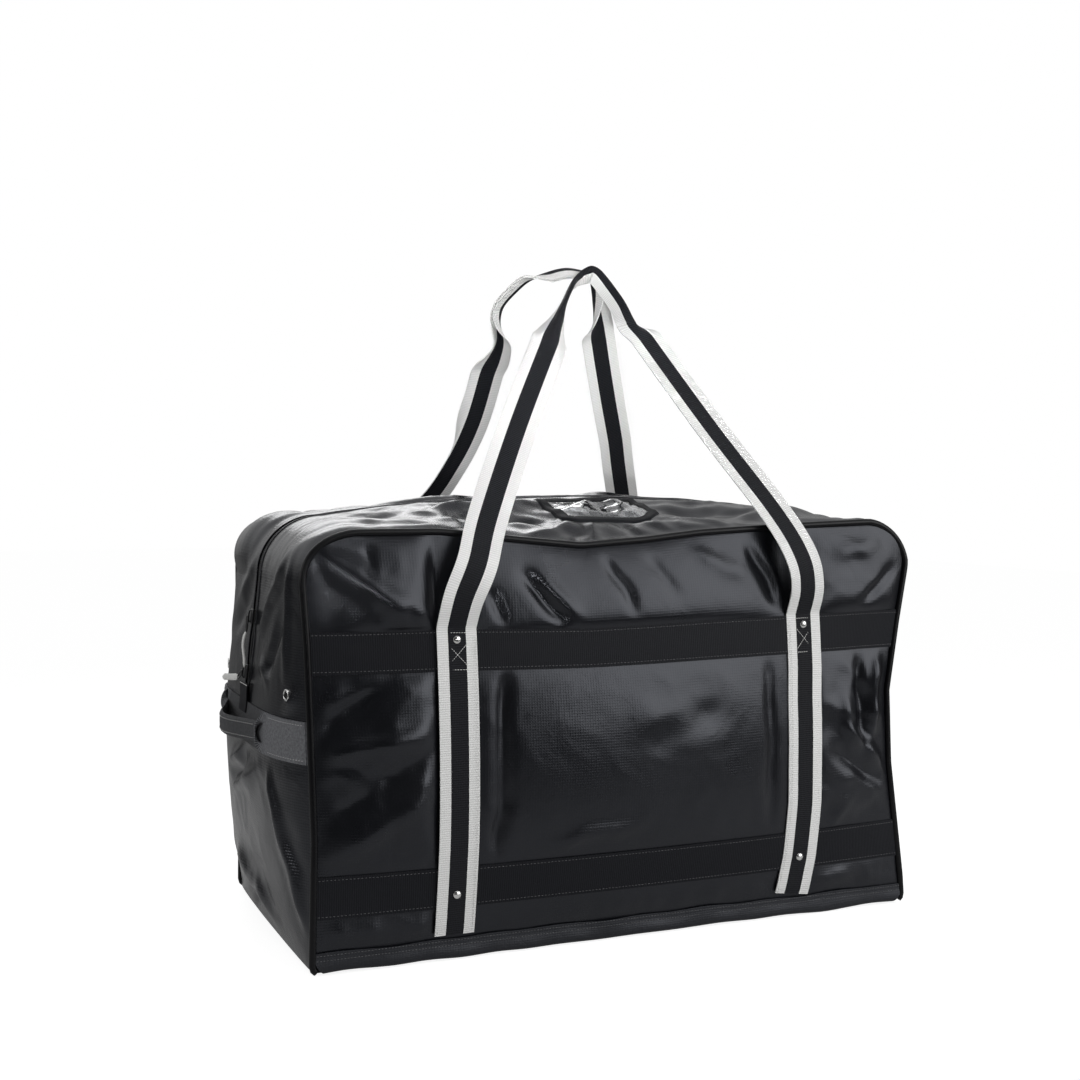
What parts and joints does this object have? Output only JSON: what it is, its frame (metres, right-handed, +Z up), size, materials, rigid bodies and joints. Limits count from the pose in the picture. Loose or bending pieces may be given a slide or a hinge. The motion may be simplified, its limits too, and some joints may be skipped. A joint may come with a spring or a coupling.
{
  "type": "hockey equipment bag",
  "caption": "Large soft tarpaulin sports duffel with a zipped top, long striped webbing carry handles and a short webbing grip on each end, for carrying ice hockey equipment.",
  "frame": {"origin": "on the floor under the middle of the bag's base", "axes": "+X along the bag's length to its right end, +Y to its back, +Z up; the front panel faces -Y"},
  "size_m": [0.9708, 0.5245, 0.8864],
  "materials": {
    "black_tarpaulin": "glossy black PVC tarpaulin with a fine grid",
    "base_tarpaulin": "heavier black coated fabric",
    "black_webbing": "matt black ribbed webbing",
    "striped_webbing": "ribbed webbing, off-white edges and a black centre stripe",
    "piping_vinyl": "black vinyl piping",
    "nickel": "bright nickel plate",
    "zip_tape": "black zip tape",
    "zip_coil": "black nylon coil",
    "black_metal": "black painted metal",
    "white_pull": "moulded off-white pull",
    "clear_vinyl": "clear flexible vinyl"
  },
  "bodies": {
    "bag_shell": {"front_panel": "black_tarpaulin", "front_upper_band": "black_webbing", "front_lower_band": "black_webbing", "front_left_strap": "striped_webbing", "front_left_upper_rivet": "nickel", "front_left_lower_rivet": "nickel", "front_right_strap": "striped_webbing", "front_right_upper_rivet": "nickel", "front_right_lower_rivet": "nickel", "front_piping": "piping_vinyl", "back_panel": "black_tarpaulin", "back_upper_band": "black_webbing", "back_lower_band": "black_webbing", "back_left_strap": "striped_webbing", "back_left_upper_rivet": "nickel", "back_left_lower_rivet": "nickel", "back_right_strap": "striped_webbing", "back_right_upper_rivet": "nickel", "back_right_lower_rivet": "nickel", "back_piping": "piping_vinyl", "left_end_panel": "black_tarpaulin", "left_end_band": "black_webbing", "left_zip_tape": "zip_tape", "left_zip_teeth": "zip_coil", "left_zip_tab": "black_webbing", "left_front_eyelet": "nickel", "left_back_eyelet": "nickel", "right_end_panel": "black_tarpaulin", "right_end_band": "black_webbing", "right_zip_tape": "zip_tape", "right_zip_teeth": "zip_coil", "right_zip_tab": "black_webbing", "right_front_eyelet": "nickel", "right_back_eyelet": "nickel", "base_panel": "base_tarpaulin", "base_liner": "base_tarpaulin", "lower_slider": "black_metal"},
    "front_flap": {"front_top_flap": "black_tarpaulin", "front_zip_tape": "zip_tape", "front_zip_teeth": "zip_coil", "id_window": "clear_vinyl", "id_window_frame": "black_webbing"},
    "back_flap": {"back_top_flap": "black_tarpaulin", "back_zip_tape": "zip_tape", "back_zip_teeth": "zip_coil"},
    "front_handle": {"front_handle": "striped_webbing"},
    "back_handle": {"back_handle": "striped_webbing"},
    "left_grip": {"left_grip": "black_webbing"},
    "right_grip": {"right_grip": "black_webbing"},
    "upper_slider": {"upper_slider": "black_metal"},
    "upper_pull": {"upper_puller": "black_metal", "upper_pull_tab": "white_pull"},
    "lower_pull": {"lower_puller": "black_metal", "lower_pull_tab": "white_pull"}
  },
  "joints": [
    {"name": "front_flap_hinge", "type": "hinge", "parent": "bag_shell", "child": "front_flap", "pos_m": [0, -0.216, 0.53], "axis": [1, 0, 0], "range_deg": [0, 35]},
    {"name": "back_flap_hinge", "type": "hinge", "parent": "bag_shell", "child": "back_flap", "pos_m": [0, 0.216, 0.53], "axis": [-1, 0, 0], "range_deg": [0, 35]},
    {"name": "front_handle_swing", "type": "hinge", "parent": "bag_shell", "child": "front_handle", "pos_m": [0, -0.2363, 0.4113], "axis": [1, 0, 0], "range_deg": [0, 135]},
    {"name": "back_handle_swing", "type": "hinge", "parent": "bag_shell", "child": "back_handle", "pos_m": [0, 0.2363, 0.4113], "axis": [-1, 0, 0], "range_deg": [0, 135]},
    {"name": "left_grip_swing", "type": "hinge", "parent": "bag_shell", "child": "left_grip", "pos_m": [-0.45282, 0, 0.278], "axis": [0, 1, 0], "range_deg": [-25, 25], "stiffness_Nm_per_rad": 0.2},
    {"name": "right_grip_swing", "type": "hinge", "parent": "bag_shell", "child": "right_grip", "pos_m": [0.45282, 0, 0.278], "axis": [0, 1, 0], "range_deg": [-25, 25], "stiffness_Nm_per_rad": 0.2},
    {"name": "upper_slider_run", "type": "slide", "parent": "bag_shell", "child": "upper_slider", "axis": [0.1128, 0, 0.9936], "range_m": [0, 0.04]},
    {"name": "upper_pull_hinge", "type": "hinge", "parent": "upper_slider", "child": "upper_pull", "pos_m": [-0.44746, 0, 0.41307], "axis": [0, 1, 0], "range_deg": [0, 110]},
    {"name": "lower_pull_hinge", "type": "hinge", "parent": "bag_shell", "child": "lower_pull", "pos_m": [-0.45563, 0, 0.34107], "axis": [0.1128, 0, 0.9936], "range_deg": [0, 100]}
  ]
}
